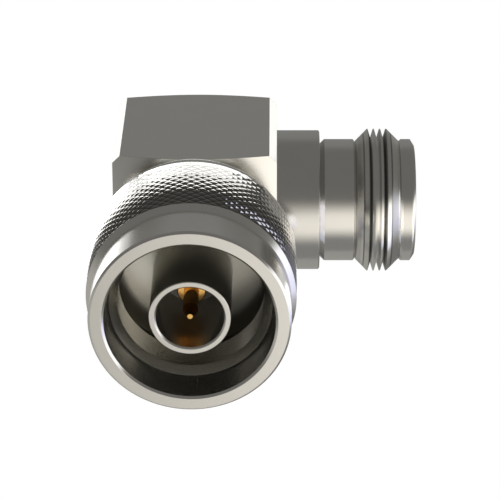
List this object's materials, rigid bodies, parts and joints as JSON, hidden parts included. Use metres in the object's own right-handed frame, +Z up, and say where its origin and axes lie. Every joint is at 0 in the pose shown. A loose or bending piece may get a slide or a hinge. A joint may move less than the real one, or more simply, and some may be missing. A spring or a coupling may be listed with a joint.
{
  "type": "right-angle coaxial adapter",
  "caption": "Right-angle coaxial adapter: a square metal block joins a plug with a knurled, free-spinning coupling nut to a threaded jack at ninety degrees.",
  "frame": {"origin": "centre of the plug's outer contact at its front edge, the plug's reference plane", "axes": "-Y out of the plug along the coupling nut's axis, +X out of the jack, +Z up, square to both arms"},
  "size_m": [0.0351, 0.0372, 0.022],
  "materials": {
    "plated_brass": "satin grey plating over brass",
    "gold_contact": "polished gold plating over brass",
    "white_insulator": "waxy white fluoropolymer",
    "spring_bronze": "plain spring bronze"
  },
  "bodies": {
    "adapter": {"body_block": "plated_brass", "plug_shell": "plated_brass", "jack_shell": "plated_brass", "rear_cap": "plated_brass", "plug_contact": "gold_contact", "jack_contact": "gold_contact", "plug_insulator": "white_insulator", "jack_insulator": "white_insulator", "rear_insulator": "white_insulator", "retaining_ring": "spring_bronze"},
    "nut": {"coupling_nut": "plated_brass"}
  },
  "joints": [
    {"name": "coupling_nut_spin", "type": "hinge", "parent": "adapter", "child": "nut", "pos_m": [0, 0, 0], "axis": [0, -1, 0], "continuous": true}
  ]
}
